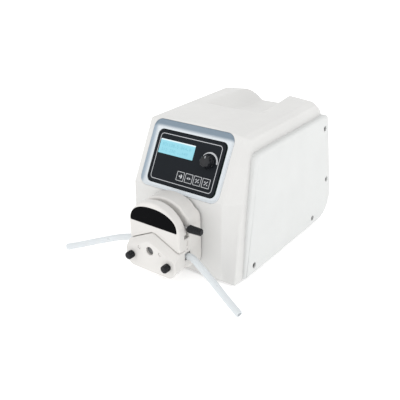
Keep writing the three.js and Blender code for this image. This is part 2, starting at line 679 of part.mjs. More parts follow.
function pumpedTube() {
  // Centre line in the XZ plane with half thickness and half width at each stop:
  // squeezed flat over the rollers, round again in the two side ports.
  const right = [
    [36.9, 38, 3.75, 3.75], [31.6, 38, 3.75, 3.75], [27.4, 38.1, 3.6, 3.9], [24, 39.2, 3, 4.2],
    [21.4, 41.6, 2.2, 4.6], [20, 44.8, 1.4, 5],
  ];
  const stops = [...right];
  for (let i = 0; i <= 12; i += 1) {
    const t = radians(14 + (152 * i) / 12);
    stops.push([19.4 * Math.cos(t), AXIS_Z + 19.4 * Math.sin(t), 1.25, 5]);
  }
  stops.push(...[...right].reverse().map(([x, z, h, w]) => [-x, z, h, w]));
  const loops = stops.map(([x, z, h, w], i) => {
    const a = stops[Math.max(i - 1, 0)];
    const b = stops[Math.min(i + 1, stops.length - 1)];
    const run = new THREE.Vector2(b[0] - a[0], b[1] - a[1]).normalize();
    const at = ([p, q]) => new THREE.Vector3(x - run.y * q * h, TUBE.y + p * w, z + run.x * q * h);
    return circle(1, 10).map(at);
  });
  const flat = loops.map(() => circle(1, 10).map(([p, q]) => new THREE.Vector2(p, q)));
  return loft(loops, flat);
}

// Free lengths of tubing outside the head, hollow and cut square at the end.
function outerTube(stops) {
  const curve = new THREE.CatmullRomCurve3(stops.map((p) => new THREE.Vector3(...p)));
  const steps = 12;
  const sides = 10;
  const ring = (radius, reach) => {
    const loops = [];
    for (let i = 0; i <= steps; i += 1) {
      const at = curve.getPointAt(i / steps);
      const along = curve.getTangentAt(i / steps);
      const across = new THREE.Vector3(0, 1, 0).cross(along).normalize();
      const up = along.clone().cross(across);
      const push = i === 0 ? -reach : (i === steps ? reach : 0);
      loops.push(circle(radius, sides).map(([a, b]) => at.clone()
        .addScaledVector(across, a).addScaledVector(up, b).addScaledVector(along, push)));
    }
    return loft(loops, loops.map(() => circle(radius, sides).map(([a, b]) => new THREE.Vector2(a, b))));
  };
  return ring(TUBE.outer, 0).subtract(ring(TUBE.bore, 1));
}

function addRotor() {
  part('drive_shaft', discY(0, AXIS_Z, ROTOR.shaftR, -47.4, 30, 16), LOOK.steel);
  const discs = [[-34, -31.4], [-19.4, -17]].map(([a, b]) => discY(0, AXIS_Z, ROTOR.discR, a, b, 24));
  const hub = discY(0, AXIS_Z, 6, -32, -18, 16);
  const pins = [];
  const spots = [90, 210, 330].map((deg) => [
    ROTOR.pitchR * Math.cos(radians(deg)), AXIS_Z + ROTOR.pitchR * Math.sin(radians(deg)),
  ]);
  for (const [x, z] of spots) {
    pins.push(discY(x, z, ROTOR.pinR, -32, -18, 10));
  }
  const bore = discY(0, AXIS_Z, ROTOR.shaftR + 0.25, -40, -10, 16);
  part('roller_carrier', cutAll(joinAll(...discs, hub, ...pins), bore), LOOK.sheet);
  spots.forEach(([x, z], i) => {
    const hole = discY(x, z, ROTOR.pinR + 0.3, -40, -10, 10);
    const roller = discY(x, z, ROTOR.rollerR, -31.1, -19.7, 16).subtract(hole);
    part(`roller_${i + 1}`, roller, LOOK.steel);
  });
}

function addLever() {
  const tilt = radians(LEVER.tilt);
  const reach = (r, a) => [
    r * Math.cos(tilt) - a * Math.sin(tilt),
    LEVER.pivotZ + r * Math.sin(tilt) + a * Math.cos(tilt),
  ];
  const round = (from, r0, to, r1, sides) => sweep([
    { at: from, points: circle(r0, sides, 0, 0, Math.PI / sides) },
    { at: to, points: circle(r1, sides, 0, 0, Math.PI / sides) },
  ], (a, b, t) => {
    const [x, z] = reach(t, a);
    return [x, LEVER.y + b, z];
  });
  const hub = discY(0, LEVER.pivotZ, LEVER.hubR, -27.2, -21.7, 18);
  const bore = discY(0, LEVER.pivotZ, 2.6, -30, -20, 12);
  const rod = round(3, LEVER.rodR, LEVER.gripFrom - 0.2, LEVER.rodR, 10);
  part('lever_rod', hub.add(rod).subtract(bore), LOOK.steel);
  const grip = joinAll(
    round(LEVER.gripFrom, 3.4, LEVER.gripFrom + 2.4, 4.9, 8),
    round(LEVER.gripFrom + 2.35, 4.9, LEVER.gripTo - 1, 4.3, 8),
    round(LEVER.gripTo - 1.05, 4.3, LEVER.gripTo, 3.3, 8),
  );
  part('lever_grip', grip, LOOK.black);
}

function addHead() {
  part('head_body', headBody(), LOOK.head);
  part('lower_block', lowerBlock(), LOOK.head);
  const ring = discY(0, AXIS_Z, 8, -45.5, -39.5, 20).subtract(discY(0, AXIS_Z, 4.3, -60, -30, 16));
  part('front_bearing', ring, LOOK.steel);
  for (const [name, s] of [['left', -1], ['right', 1]]) {
    part(`block_pin_${name}`, discY(s * 15.5, AXIS_Z + 0.6, 1.9, -49.7, -44.3, 10), LOOK.head);
    part(`tube_knob_${name}`, tubeKnob(s), LOOK.black);
    const jaw = box(s > 0 ? 28.9 : -33.9, s > 0 ? 33.9 : -28.9, -29.9, -20.8, 29.4, 33.8);
    part(`clamp_jaw_${name}`, jaw, LOOK.black);
  }
  part('pressing_block', pressingBlock(), LOOK.head);
  part('block_window', alongY(windowOutline(0), -41.3, -39.6), LOOK.smoke);
  part('pump_tube', pumpedTube(), LOOK.tube);
  const floor = TUBE.outer - FOOT + 0.1;
  const port = (side) => [[side * TUBE.portX, TUBE.y, TUBE.portZ], [side * 42, TUBE.y, TUBE.portZ]];
  const left = [...port(-1), [-66, -27, 31.5], [-98, -34, 19.5], [-128, -42.5, 8], [-146, -48, floor]];
  const right = [...port(1), [62, -28, 30.5], [84, -33, 18.5], [104, -38.5, 8], [119, -42.6, floor]];
  part('tube_left', outerTube(left), LOOK.tube);
  part('tube_right', outerTube(right), LOOK.tube);
}

addHousing();
addPanel();
addRear();
addDrive();
addRotor();
addLever();
addHead();

export default group;
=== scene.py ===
"""Looks for a bench-top peristaltic pump: smooth mouldings, printed control panel, roller
head, silicone tubing and a plain studio. Sizes are millimetres in "case coordinates":
y = 0 on the lower front face, z = 0 on the case bottom, x = 0 on the centre line."""
import math

import bmesh
import bpy
from mathutils import Matrix, Vector


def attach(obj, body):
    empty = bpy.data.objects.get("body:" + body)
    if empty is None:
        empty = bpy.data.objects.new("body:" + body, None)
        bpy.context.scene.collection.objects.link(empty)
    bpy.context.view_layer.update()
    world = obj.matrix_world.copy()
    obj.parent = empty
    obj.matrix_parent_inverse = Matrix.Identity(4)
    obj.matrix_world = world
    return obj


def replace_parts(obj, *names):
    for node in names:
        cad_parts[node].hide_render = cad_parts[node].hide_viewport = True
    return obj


# ---------------------------------------------------------------- dimensions
MM = 0.001
FOOT = 2.5
SHIFT_Y = -90.15
WALL = 3.0
HALF_FACE, HALF_BODY, HALF_COVER = 66.0, 83.6, 87.5
SHELL_TAPER, COVER_TAPER = 11.6 / 161, 7.0 / 148
BREAK_Z, TOP_Z, CROWN_Z, CROWN_HALF = 91.0, 168.0, 171.4, 32.0
SHOULDER_DROP, EDGE_REACH, SIDE_EDGE = 3.9, 2.6, 1.4
PANEL_TILT, REAR_LEAN = math.radians(28.5), math.radians(8)
REAR_CORNER, REAR_CENTRE = 35.0, (203.5, 35.0)
VALLEY = {"floor_z": 156.4, "floor_half": 18.0, "rim_half": 43.5, "front": 116.0, "floor_y": 140.0,
          "rear_y": 215.0, "rear_drop": 4.0, "rear_rim": 33.0}
BEZEL = {"half": 58.2, "low": 6.3, "high": 88.6, "radius": 11.0}
OVERLAY = {"left": -50.6, "right": 48.6, "low": 12.1, "high": 76.6, "radius": 7.0, "top": -2.4}
DISPLAY = {"left": -44.6, "right": 7.4, "low": 48.0, "high": 65.6, "face": -2.3}
KEY = {"count": 4, "first": -8.4, "pitch": 12.4, "width": 11.4, "low": 20.8, "high": 32.6}
ENCODER = {"x": 30.3, "v": 50.5, "radius": 7.9, "height": 9.4}
AXIS_Z = 44.0
HEAD = {"half": 37.0, "bottom": 16.3, "arc_z": 61.7, "arc_r": 39.3, "flange_y": -21.4,
        "seam_y": -31.0, "plate_y": -41.0, "front_y": -50.0, "apex": 65.0, "slope": 0.49,
        "core_half": 36.4, "core_y": -30.75, "split_z": 74.0, "drum_r": 37.3, "rotor_r": 24.0}
TUBE = {"outer": 4.1, "bore": 2.4, "y": -25.5, "z": 38.0, "x": 37.4, "rest_z": 1.75}
KNOB = {"x": 27.0, "z": 32.5, "radius": 4.7, "base": -50.4, "tip": -58.4}
COVER = {"front": 17, "bottom": 0.6, "rear": 230, "top": 146.0, "top_front": 50,
         "bend_y": 31.5, "bend_z": 72}
COVER_SCREWS = [(220, 128.5), (227, 54), (187, 10.5), (38, 11)]
CAMERA = {"place": (0.41045, -0.57858, 0.39611), "azimuth": 37.42, "elevation": 25.59, "roll": -1.5,
          "lens": 54.27}

SIN_T, COS_T = math.sin(PANEL_TILT), math.cos(PANEL_TILT)
SIN_R, COS_R = math.sin(REAR_LEAN), math.cos(REAR_LEAN)
REAR_FOOT = (REAR_CENTRE[0] + REAR_CORNER * COS_R, REAR_CENTRE[1] + REAR_CORNER * SIN_R)

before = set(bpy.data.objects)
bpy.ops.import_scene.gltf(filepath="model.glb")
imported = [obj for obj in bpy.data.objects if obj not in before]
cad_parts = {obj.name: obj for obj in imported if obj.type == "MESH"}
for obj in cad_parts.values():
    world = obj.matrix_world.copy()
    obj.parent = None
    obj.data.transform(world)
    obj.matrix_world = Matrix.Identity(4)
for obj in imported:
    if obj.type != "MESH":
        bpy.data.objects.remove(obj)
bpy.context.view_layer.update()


# ---------------------------------------------------------------- places
def case(x, y, z):
    """A point in case coordinates."""
    return Vector((x * MM, (y + SHIFT_Y) * MM, (z + FOOT) * MM))


def on_panel(x, v, w):
    """A point v up the sloping panel and w out of it."""
    return case(x, v * SIN_T - w * COS_T, BREAK_Z + v * COS_T + w * SIN_T)


def on_rear(x, v, w):
    """A point v up the leaning rear face and w out of it."""
    return case(-x, REAR_FOOT[0] - v * SIN_R + w * COS_R, REAR_FOOT[1] + v * COS_R + w * SIN_R)


def on_front(x, z, y):
    """A point of an outline seen from the front, at depth y."""
    return case(x, y, z)


def on_side(side):
    """Points of an outline seen from one side, at a distance x from the centre line."""
    return lambda y, z, x: case(side * x, y, z)


def on_cover(side):
    """Points of the side cover's skin, which leans in towards the top."""
    return lambda y, z, x: case(side * (x - COVER_TAPER * z), y, z)


def in_shell(y, z, x):
    """A point inside the shell's side walls, which lean in towards the top."""
    return case(x - math.copysign(SHELL_TAPER * z, x), y, z)


# ---------------------------------------------------------------- camera
def make_camera():
    azimuth, elevation, roll = (math.radians(CAMERA[a]) for a in ("azimuth", "elevation", "roll"))
    ahead = Vector((-math.sin(azimuth) * math.cos(elevation),
                    math.cos(azimuth) * math.cos(elevation), -math.sin(elevation)))
    level = Vector((math.cos(azimuth), math.sin(azimuth), 0))
    upright = level.cross(ahead)
    right = level * math.cos(roll) + upright * math.sin(roll)
    up = upright * math.cos(roll) - level * math.sin(roll)
    turn = Matrix((right, up, -ahead)).transposed().to_4x4()
    data = bpy.data.cameras.new("camera")
    data.lens = CAMERA["lens"]
    data.sensor_width = 36
    data.dof.use_dof = False
    camera = bpy.data.objects.new("camera", data)
    camera.matrix_world = Matrix.Translation(CAMERA["place"]) @ turn
    bpy.context.collection.objects.link(camera)
    bpy.context.scene.camera = camera


# ---------------------------------------------------------------- outlines
def rounded(corners, steps=8):
    """A closed loop through (a, b, radius) corners, each turned into an arc."""
    loop = []
    count = len(corners)
    for i, (a, b, radius) in enumerate(corners):
        here = Vector((a, b))
        back = Vector(corners[i - 1][:2]) - here
        on = Vector(corners[(i + 1) % count][:2]) - here
        half = back.angle(on) / 2
        if radius <= 0 or abs(half - math.pi / 2) < 0.01:
            loop.append(here)
            continue
        reach = min(radius / math.tan(half), 0.499 * back.length, 0.499 * on.length)
        radius = reach * math.tan(half)
        middle = here + (back.normalized() + on.normalized()).normalized() * radius / math.sin(half)
        first = here + back.normalized() * reach - middle
        last = here + on.normalized() * reach - middle
        turn = math.atan2(first.x * last.y - first.y * last.x, first.dot(last))
        for k in range(steps + 1):
            c, s = math.cos(turn * k / steps), math.sin(turn * k / steps)
            loop.append(middle + Vector((first.x * c - first.y * s, first.x * s + first.y * c)))
    return loop


def round_rect(a0, a1, b0, b1, radius, steps=10):
    corners = [(a0, b0, radius), (a1, b0, radius), (a1, b1, radius), (a0, b1, radius)]
    return rounded(corners, steps)


def circle(radius, sides, a=0.0, b=0.0):
    turns = [math.tau * i / sides for i in range(sides)]
    return [Vector((a + radius * math.cos(t), b + radius * math.sin(t))) for t in turns]


def inset(loop, depth):
    """The loop moved inwards by depth."""
    count = len(loop)
    area = sum(loop[i - 1].x * loop[i].y - loop[i].x * loop[i - 1].y for i in range(count))
    side = 1 if area > 0 else -1
    moved = []
    for i, here in enumerate(loop):
        back = (here - loop[i - 1]).normalized()
        on = (loop[(i + 1) % count] - here).normalized()
        normal = Vector((-(back.y + on.y), back.x + on.x)) * side
        stretch = max(0.35, normal.length / 2)
        moved.append(here + normal.normalized() * depth / stretch)
    return moved


def catmull(points, per_span):
    """A centripetal Catmull-Rom curve through the points, as three.js draws it."""
    points = [Vector(p) for p in points]
    points = [points[0] * 2 - points[1], *points, points[-1] * 2 - points[-2]]
    line = []
    for i in range(1, len(points) - 2):
        p0, p1, p2, p3 = points[i - 1:i + 3]
        d0, d1, d2 = (math.sqrt((b - a).length) for a, b in ((p0, p1), (p1, p2), (p2, p3)))
        t1 = (p1 - p0) / d0 - (p2 - p0) / (d0 + d1) + (p2 - p1) / d1
        t2 = (p2 - p1) / d1 - (p3 - p1) / (d1 + d2) + (p3 - p2) / d2
        t1, t2 = t1 * d1, t2 * d1
        for k in range(per_span):
            t = k / per_span
            line.append(p1 * (2 * t ** 3 - 3 * t ** 2 + 1) + t1 * (t ** 3 - 2 * t ** 2 + t)
                        + p2 * (3 * t ** 2 - 2 * t ** 3) + t2 * (t ** 3 - t ** 2))
    return [*line, points[-2]]


def spaced(line, count):
    """The line as count evenly spaced points."""
    run = [0.0]
    for a, b in zip(line, line[1:]):
        run.append(run[-1] + (b - a).length)
    points, k = [], 0
    for i in range(count):
        goal = run[-1] * i / (count - 1)
        while k < len(run) - 2 and run[k + 1] < goal:
            k += 1
        share = (goal - run[k]) / max(run[k + 1] - run[k], 1e-9)
        points.append(line[k].lerp(line[k + 1], share))
    return points


# ---------------------------------------------------------------- solids
def new_piece(name, mesh, material, body=None, slot=None):
    """An object in the scene with its material; one that stays rides on a body. The slot argument is not
    used.
    """
    mesh.materials.append(material)
    piece = bpy.data.objects.new(name, mesh)
    bpy.context.collection.objects.link(piece)
    if body:
        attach(piece, body)
    return piece


def loft(name, rings, material, closed=False, **where):
    """Skin over rings of equal point count, capped unless the rings close on themselves."""
    count = len(rings[0])
    work = bmesh.new()
    verts = [[work.verts.new(p) for p in ring] for ring in rings]
    pairs = list(zip(verts, verts[1:])) + ([(verts[-1], verts[0])] if closed else [])
    for low, high in pairs:
        for i in range(count):
            j = (i + 1) % count
            work.faces.new((low[i], low[j], high[j], high[i]))
    if not closed:
        work.faces.new(list(reversed(verts[0])))
        work.faces.new(verts[-1])
    bmesh.ops.remove_doubles(work, verts=work.verts, dist=1e-7)
    bmesh.ops.recalc_face_normals(work, faces=work.faces)
    mesh = bpy.data.meshes.new(name)
    work.to_mesh(mesh)
    work.free()
    return new_piece(name, mesh, material, **where)


def prism(loop, place, start, end, material):
    """A plain block of the outline, used up as a tool or joined on to a piece."""
    return loft("prism", [[place(p.x, p.y, w) for p in loop] for w in (start, end)], material)


def edge_steps(start, end, radius, steps=4):
    """(depth, inset) stops from start to end, with a rounded edge at the end."""
    way = 1 if end > start else -1
    stops = [(start, 0.0)]
    for k in range(steps + 1):
        t = math.pi / 2 * k / steps
        stops.append((end - way * radius * (1 - math.sin(t)), radius * (1 - math.cos(t))))
    return stops


def moulding(name, loop, start, end, place, material, radius=0.5, steps=4, **where):
    """A slab of the outline with its end edge rounded."""
    stops = edge_steps(start, end, radius, steps)
    rings = [[place(p.x, p.y, w) for p in (inset(loop, d) if d else loop)] for w, d in stops]
    return loft(name, rings, material, **where)


def settle(piece):
    """Turns a piece's modifiers into its mesh."""
    bpy.context.view_layer.update()
    graph = bpy.context.evaluated_depsgraph_get()
    mesh = bpy.data.meshes.new_from_object(piece.evaluated_get(graph))
    piece.modifiers.clear()
    piece.data = mesh


def combine(piece, tools, operation):
    """The piece cut by or joined to each tool in turn, which uses the tool up."""
    for tool in tools:
        cut = piece.modifiers.new("cut", "BOOLEAN")
        cut.operation = operation
        cut.solver = "EXACT"
        cut.object = tool
        settle(piece)
        bpy.data.objects.remove(tool)
    return piece


def carve(piece, *tools):
    return combine(piece, tools, "DIFFERENCE")


def fuse(piece, *tools):
    return combine(piece, tools, "UNION")


def polish(piece, angle=35.0):
    """Smooth shading with creases kept and large faces held flat."""
    piece.data.polygons.foreach_set("use_smooth", [True] * len(piece.data.polygons))
    piece.data.set_sharp_from_angle(angle=math.radians(angle))
    normals = piece.modifiers.new("normals", "WEIGHTED_NORMAL")
    normals.keep_sharp = True
    return piece


def dress(node, material, bevel=0.3, angle=35.0):
    """A CAD node as it is, with a material, softened edges and smooth shading."""
    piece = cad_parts[node]
    for slot in piece.material_slots:
        slot.material = material
    weld = piece.modifiers.new("weld", "WELD")
    weld.merge_threshold = 1e-5
    if bevel:
        soft = piece.modifiers.new("soft_edges", "BEVEL")
        soft.width = bevel * MM
        soft.segments = 2
        soft.limit_method = "ANGLE"
        soft.angle_limit = math.radians(angle)
    normals = piece.modifiers.new("normals", "WEIGHTED_NORMAL")
    normals.keep_sharp = True


# ---------------------------------------------------------------- materials
def shader_base(name, colour, roughness, metallic=0.0, **sockets):
    """A material, its node tree and its shader with the uniform values set."""
    made = bpy.data.materials.new(name)
    made.use_nodes = True
    shader = made.node_tree.nodes["Principled BSDF"]
    shader.inputs["Base Color"].default_value = (*colour, 1)
    shader.inputs["Roughness"].default_value = roughness
    shader.inputs["Metallic"].default_value = metallic
    for key, value in sockets.items():
        shader.inputs[key.replace("_", " ")].default_value = value
    return made, made.node_tree, shader


def noise(tree, scale, detail=2.0, rough=0.5, stretch=None):
    place = tree.nodes.new("ShaderNodeTexCoord")
    source = place.outputs["Object"]
    if stretch:
        mapping = tree.nodes.new("ShaderNodeMapping")
        mapping.inputs["Scale"].default_value = stretch
        tree.links.new(source, mapping.inputs["Vector"])
        source = mapping.outputs["Vector"]
    made = tree.nodes.new("ShaderNodeTexNoise")
    made.inputs["Scale"].default_value = scale
    made.inputs["Detail"].default_value = detail
    made.inputs["Roughness"].default_value = rough
    tree.links.new(source, made.inputs["Vector"])
    return made.outputs["Fac"]


def ramp(tree, source, low, high, start=0.3, stop=0.7):
    """A colour that runs from low to high as the source runs from start to stop."""
    made = tree.nodes.new("ShaderNodeValToRGB")
    made.color_ramp.elements[0].position = start
    made.color_ramp.elements[0].color = (*low, 1)
    made.color_ramp.elements[1].position = stop
    made.color_ramp.elements[1].color = (*high, 1)
    tree.links.new(source, made.inputs["Fac"])
    return made.outputs["Color"]


def spread(tree, source, low, high):
    """The middle of a noise's range spread from low to high."""
    made = tree.nodes.new("ShaderNodeMapRange")
    made.inputs["From Min"].default_value = 0.3
    made.inputs["From Max"].default_value = 0.7
    made.inputs["To Min"].default_value = low
    made.inputs["To Max"].default_value = high
    tree.links.new(source, made.inputs["Value"])
    return made.outputs["Result"]


def bump(tree, shader, source, depth):
    made = tree.nodes.new("ShaderNodeBump")
    made.inputs["Distance"].default_value = depth * MM
    made.inputs["Strength"].default_value = 1.0
    tree.links.new(source, made.inputs["Height"])
    tree.links.new(made.outputs["Normal"], shader.inputs["Normal"])


def shade(colour, share):
    return tuple(c * share for c in colour)


def textured(name, colour, roughness, metallic=0.0, grain=1400, depth=0.02, drift=0.02,
             rough_drift=0.06, stretch=None, **sockets):
    """A finish with slow colour drift, uneven gloss and a fine moulded grain."""
    made, tree, shader = shader_base(name, colour, roughness, metallic, **sockets)
    slow = noise(tree, 26, 3.0)
    tree.links.new(ramp(tree, slow, shade(colour, 1 - drift), shade(colour, 1 + drift / 2)),
                   shader.inputs["Base Color"])
    fine = noise(tree, grain, 2.0, 0.6, stretch)
    tree.links.new(spread(tree, noise(tree, 90, 3.0), roughness - rough_drift,
                          roughness + rough_drift), shader.inputs["Roughness"])
    bump(tree, shader, fine, depth)
    return made


def display_look():
    """A backlit panel with a painted highlight: a whitish band painted along its top edge, which glows
    with the rest.
    """
    made, tree, shader = shader_base("display_glow", (0.20, 0.50, 0.58), 0.25)
    place = tree.nodes.new("ShaderNodeTexCoord")
    split = tree.nodes.new("ShaderNodeSeparateXYZ")
    tree.links.new(place.outputs["Object"], split.inputs["Vector"])
    low = on_panel(0, DISPLAY["low"], 0).z
    high = on_panel(0, DISPLAY["high"], 0).z
    edge = tree.nodes.new("ShaderNodeMapRange")
    edge.interpolation_type = "SMOOTHSTEP"
    edge.inputs["From Min"].default_value = high - 0.20 * (high - low)
    edge.inputs["From Max"].default_value = high - 0.08 * (high - low)
    tree.links.new(split.outputs["Z"], edge.inputs["Value"])
    # Painted highlight: the colour, and the glow with it, turns whitish near the top edge.
    colour = ramp(tree, edge.outputs["Result"], (0.215, 0.50, 0.585), (0.72, 0.78, 0.80), 0.0, 1.0)
    uneven = ramp(tree, noise(tree, 60, 2.0), (0.94, 0.96, 0.97), (1, 1, 1))
    mix = tree.nodes.new("ShaderNodeMix")
    mix.data_type = "RGBA"
    mix.blend_type = "MULTIPLY"
    mix.inputs["Factor"].default_value = 1.0
    tree.links.new(colour, mix.inputs["A"])
    tree.links.new(uneven, mix.inputs["B"])
    tree.links.new(mix.outputs["Result"], shader.inputs["Base Color"])
    tree.links.new(mix.outputs["Result"], shader.inputs["Emission Color"])
    shader.inputs["Emission Strength"].default_value = 0.20
    return made


def bezel_look():
    """Silver paint with painted shade: a dark blue band painted up the sloped wall at the top and a
    blue-grey band at the left, walls that face away from the light.
    """
    made, tree, shader = shader_base("bezel_silver_painted_shade", (0.52, 0.56, 0.60), 0.36, 0.0)
    place = tree.nodes.new("ShaderNodeTexCoord")
    split = tree.nodes.new("ShaderNodeSeparateXYZ")
    tree.links.new(place.outputs["Object"], split.inputs["Vector"])
    # Where the painted shade goes: high up the top wall, and out along the left wall.
    top = [on_panel(0, v, 0).z for v in (77.0, 82.4)]
    left = [-0.0515, -0.0575]
    painted_shade_masks = []
    for output, (start, stop) in (("Z", top), ("X", left)):
        edge = tree.nodes.new("ShaderNodeMapRange")
        edge.interpolation_type = "SMOOTHSTEP"
        edge.inputs["From Min"].default_value = start
        edge.inputs["From Max"].default_value = stop
        tree.links.new(split.outputs[output], edge.inputs["Value"])
        painted_shade_masks.append(edge.outputs["Result"])
    # The paint is silver; the dark blue for the top wall and the blue-grey for the left wall are painted
    # shade.
    silver, painted_shade_slate, side = (0.62, 0.66, 0.69), (0.17, 0.225, 0.28), (0.31, 0.38, 0.45)
    base = ramp(tree, painted_shade_masks[1], silver, side, 0.0, 0.8)
    mix = tree.nodes.new("ShaderNodeMix")
    mix.data_type = "RGBA"
    tree.links.new(painted_shade_masks[0], mix.inputs["Factor"])
    tree.links.new(base, mix.inputs["A"])
    mix.inputs["B"].default_value = (*painted_shade_slate, 1)
    tree.links.new(mix.outputs["Result"], shader.inputs["Base Color"])
    tree.links.new(spread(tree, noise(tree, 90, 3.0), 0.30, 0.42), shader.inputs["Roughness"])
    bump(tree, shader, noise(tree, 3200), 0.006)
    return made


LOOK = {
    "shell": textured("shell_plastic", (0.655, 0.652, 0.640), 0.48, grain=1700, depth=0.02),
    "cover": textured("cover_plastic", (0.645, 0.655, 0.648), 0.46, grain=1700, depth=0.02),
    "head": textured("head_plastic", (0.655, 0.640, 0.618), 0.38, grain=2200, depth=0.012),
    "bezel": bezel_look(),
    "overlay": textured("overlay_film", (0.010, 0.0125, 0.0160), 0.36, grain=2600, depth=0.01,
                        drift=0.12, Specular_IOR_Level=0.08),
    "ink": textured("printed_ink", (0.50, 0.51, 0.53), 0.5, grain=3000, depth=0.01),
    "black": textured("black_plastic", (0.008, 0.009, 0.011), 0.30, grain=1500, depth=0.02, drift=0.2,
                      Specular_IOR_Level=0.18),
    "dial": textured("dial_plastic", (0.012, 0.013, 0.016), 0.20, grain=1500, depth=0.02, drift=0.2,
                     Specular_IOR_Level=0.32),
    "gloss": textured("gloss_black", (0.0012, 0.0014, 0.002), 0.10, grain=700, depth=0.004,
                      rough_drift=0.03, Specular_IOR_Level=0.03),
    "steel": textured("bright_steel", (0.50, 0.50, 0.51), 0.28, 1.0, grain=1800, depth=0.01,
                      stretch=(1, 12, 1)),
    # Dark metal whose darkness is partly painted shade: on the shaft and bearing it stands in for the
    # shade inside the shaft hole. The cover screws use it too.
    "zinc": textured("dark_zinc_with_hole_shade", (0.13, 0.13, 0.13), 0.42, 0.8, grain=2500, depth=0.02),
    "sheet": textured("plated_sheet", (0.50, 0.51, 0.52), 0.40, 0.9, grain=1200, depth=0.015),
    "board": textured("board_lacquer", (0.02, 0.13, 0.06), 0.35, grain=900, depth=0.03, drift=0.2),
    "rubber": textured("foot_rubber", (0.02, 0.02, 0.02), 0.78, grain=1500, depth=0.05, drift=0.2,
                       Specular_IOR_Level=0.2),
    "key": textured("key_film", (0.013, 0.016, 0.020), 0.42, grain=2400, depth=0.015, drift=0.1,
                    Specular_IOR_Level=0.14),
    "tube": textured("silicone_tube", (0.70, 0.735, 0.755), 0.32, grain=500, depth=0.02,
                     Transmission_Weight=0.12, IOR=1.41),
    "segment": textured("display_segments", (0.10, 0.40, 0.52), 0.4, grain=2000, depth=0.005),
    "display": display_look(),
}


# ---------------------------------------------------------------- tubing
def tube_route(points):
    """The tube's centre line, the same route as its CAD solid."""
    return spaced(catmull([case(*p) for p in points], 12), 25)


def tube_piece(name, node, route):
    """A hollow round tube with its ends cut square."""
    sides = 32
    rings = {TUBE["outer"]: [], TUBE["bore"]: []}
    for i, here in enumerate(route):
        along = (route[min(i + 1, len(route) - 1)] - route[max(i - 1, 0)]).normalized()
        across = Vector((0, 1, 0)).cross(along).normalized()
        up = along.cross(across)
        for radius, made in rings.items():
            spots = circle(radius * MM, sides)
            made.append([here + across * p.x + up * p.y for p in spots])
    wall = [*rings[TUBE["outer"]], *reversed(rings[TUBE["bore"]])]
    piece = polish(loft(name, wall, LOOK["tube"], closed=True, body="drive", slot="tube"), 60)
    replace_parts(piece, node)


def make_tubes():
    y, z, x = TUBE["y"], TUBE["z"], TUBE["x"]
    left = tube_route([(-x, y, z), (-42, y, z), (-66, -27, 31.5), (-98, -34, 19.5),
                       (-128, -42.5, 8), (-146, -48, TUBE["rest_z"])])
    right = tube_route([(x, y, z), (42, y, z), (60, -28.6, 29.8), (82, -33.4, 18.4),
                        (102, -38.4, 8.6), (119, -43, TUBE["rest_z"])])
    tube_piece("tube_left_skin", "tube_left", left)
    tube_piece("tube_right_skin", "tube_right", right)


# ---------------------------------------------------------------- housing
def soft_step(value, knot, reach):
    """max(0, value - knot), with its corner rounded over reach each side."""
    gap = value - knot
    if gap <= -reach:
        return 0.0
    if gap >= reach:
        return gap
    return (gap + reach) ** 2 / (4 * reach)


def shell_corners(x):
    """Corners of the side profile at a distance x from the centre line."""
    out = soft_step(x, HALF_FACE, EDGE_REACH) / (HALF_BODY - HALF_FACE)
    top = CROWN_Z - soft_step(x, CROWN_HALF, 12) * (CROWN_Z - TOP_Z) / (HALF_FACE - CROWN_HALF)
    top -= out * SHOULDER_DROP
    brow = 28.4 * out
    front_top = (top - BREAK_Z) * (SIN_T / COS_T) * (1 - out) + out * 51.3
    rear_foot = REAR_FOOT[0] + REAR_FOOT[1] * SIN_R / COS_R
    rear_top = REAR_FOOT[0] - (top - REAR_FOOT[1]) * SIN_R / COS_R
    return [(0, 0, 1.5), (rear_foot, 0, REAR_CORNER), (rear_top, top, 24), (front_top, top, 2.4),
            (brow, BREAK_Z, 22)]


def fill(loop, runs):
    """The loop with its long straight runs, given by their first point, split into parts."""
    dense = []
    for i, here in enumerate(loop):
        after = loop[(i + 1) % len(loop)]
        parts = runs.get(i, 1)
        dense += [here.lerp(after, k / parts) for k in range(parts)]
    return dense


def valley_floor(x, y):
    """Height of the hand recess in the top, with rounded creases."""
    back = (y - VALLEY["floor_y"]) / (VALLEY["rear_y"] - VALLEY["floor_y"])
    back = max(0.0, min(1.2, back))
    floor = VALLEY["floor_z"] - VALLEY["rear_drop"] * back
    rim = VALLEY["rim_half"] - (VALLEY["rim_half"] - VALLEY["rear_rim"]) * back
    side = (abs(x) - VALLEY["floor_half"]) / (rim - VALLEY["floor_half"])
    front = (VALLEY["floor_y"] - y) / (VALLEY["floor_y"] - VALLEY["front"])
    rise = CROWN_Z - floor
    lift = soft_step(side * rise, 0, 1.0)
    ramp_up = soft_step(front * rise, 0, 1.2)
    high, low = max(lift, ramp_up), min(lift, ramp_up)
    blend = soft_step(low, high, 1.5) if high - low < 1.5 else 0.0
    return floor + high + blend


def shell_ring(x, shrink=0.0):
    """The side profile at x, with the hand recess pressed into its top."""
    steps, crease = 8, 1.6
    lean = SHELL_TAPER * soft_step(abs(x), HALF_FACE, EDGE_REACH) / (HALF_BODY - HALF_FACE)
    loop = rounded(shell_corners(abs(x)), steps)
    runs = {steps: 3, 2 * steps + 1: 12, 3 * steps + 2: 62, 4 * steps + 3: 16, 5 * steps + 4: 10}
    loop = fill(loop, runs)
    if shrink:
        loop = inset(loop, shrink)
    ring = []
    for p in loop:
        z = p.y
        if p.y > 120 and p.x > 60:
            bed = valley_floor(x, p.x)
            gap = bed - z
            if gap < -crease:
                z = bed
            elif gap <= crease:
                z -= (crease - gap) ** 2 / (4 * crease)
        ring.append(case(x - math.copysign(lean * z, x), p.x, z))
    return ring


